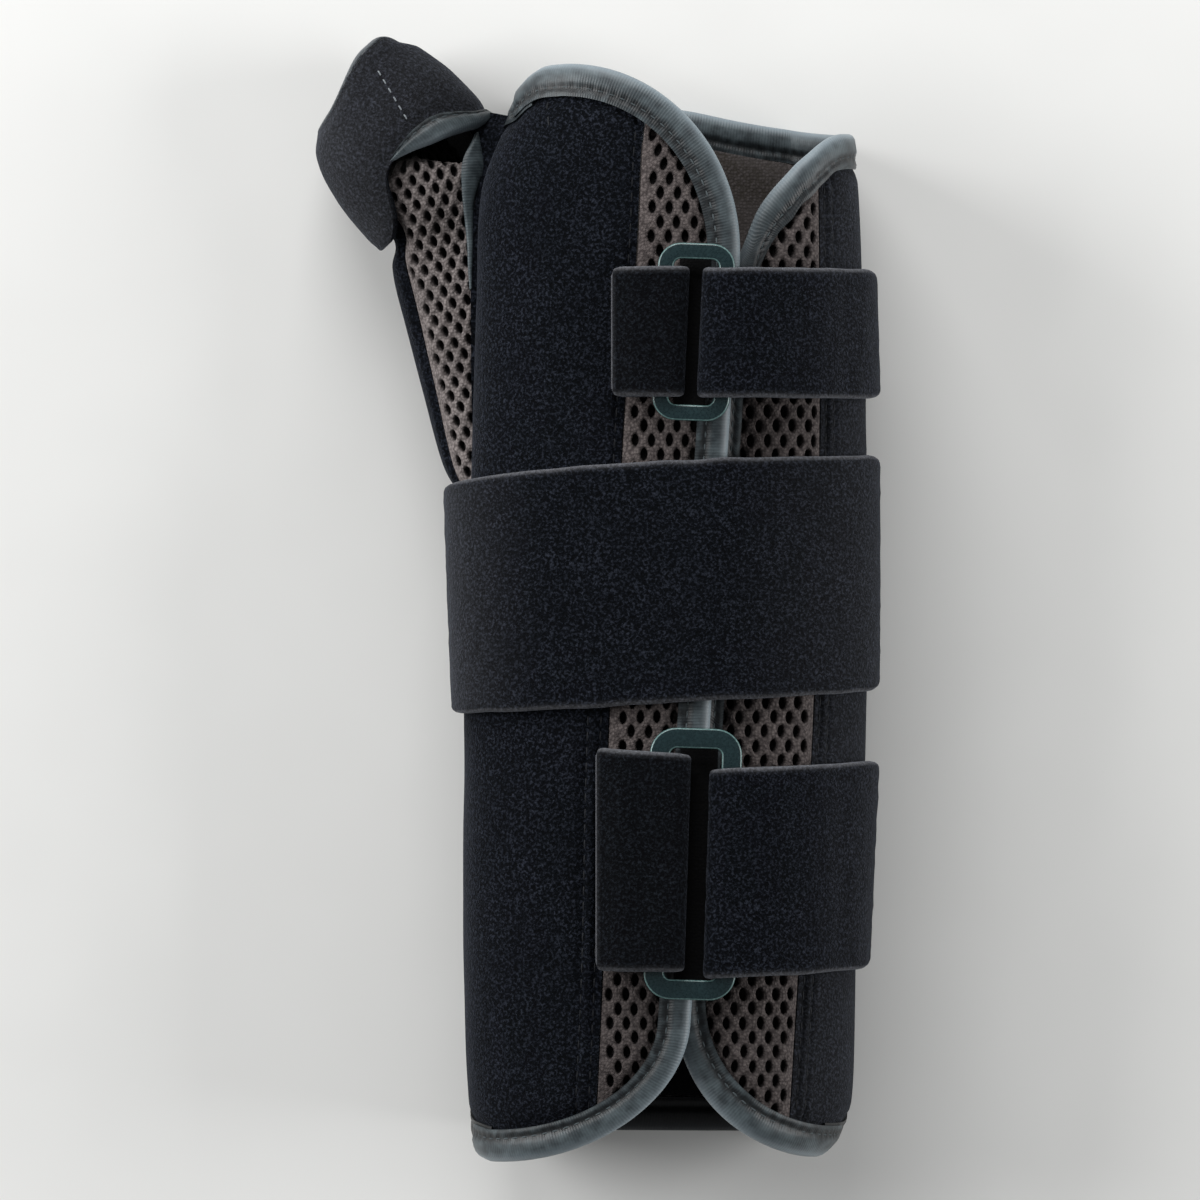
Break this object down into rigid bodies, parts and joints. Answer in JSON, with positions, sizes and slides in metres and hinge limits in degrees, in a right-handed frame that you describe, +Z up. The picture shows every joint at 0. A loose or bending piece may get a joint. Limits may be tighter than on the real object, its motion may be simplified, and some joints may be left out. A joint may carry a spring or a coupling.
{
  "type": "wrist brace",
  "caption": "Fastened wrist and thumb brace: padded loop and mesh sleeve with taped edges, ring straps, a wide wrist strap and a thumb sleeve, open at both ends.",
  "frame": {"origin": "middle of the flat back panel's lower face, on the table", "axes": "+Z up out of the closure side, +Y along the brace towards the fingers, +X across it away from the thumb"},
  "size_m": [0.1075, 0.2142, 0.0622],
  "materials": {
    "loop": "black navy brushed loop pile",
    "mesh": "brown grey spacer mesh with open holes",
    "tape": "grey green satin edge tape",
    "lining": "brown grey knitted lining",
    "ring": "dark teal moulded plastic"
  },
  "bodies": {
    "root": {"left_panel": "loop", "left_mesh": "mesh", "left_flap_binding": "tape", "right_panel": "loop", "right_mesh": "mesh", "right_flap_binding": "tape", "back_panel": "loop", "back_lining": "lining", "back_top_binding": "tape", "back_bottom_binding": "tape", "thumb_mesh": "mesh", "thumb_side_panel": "loop", "thumb_seam_tape": "tape", "thumb_band": "loop", "thumb_band_base_binding": "tape", "thumb_band_tip_binding": "tape", "top_tab": "loop", "top_ring": "ring", "top_strap": "loop", "middle_strap": "loop", "bottom_tab": "loop", "bottom_ring": "ring", "bottom_strap": "loop"}
  },
  "joints": []
}
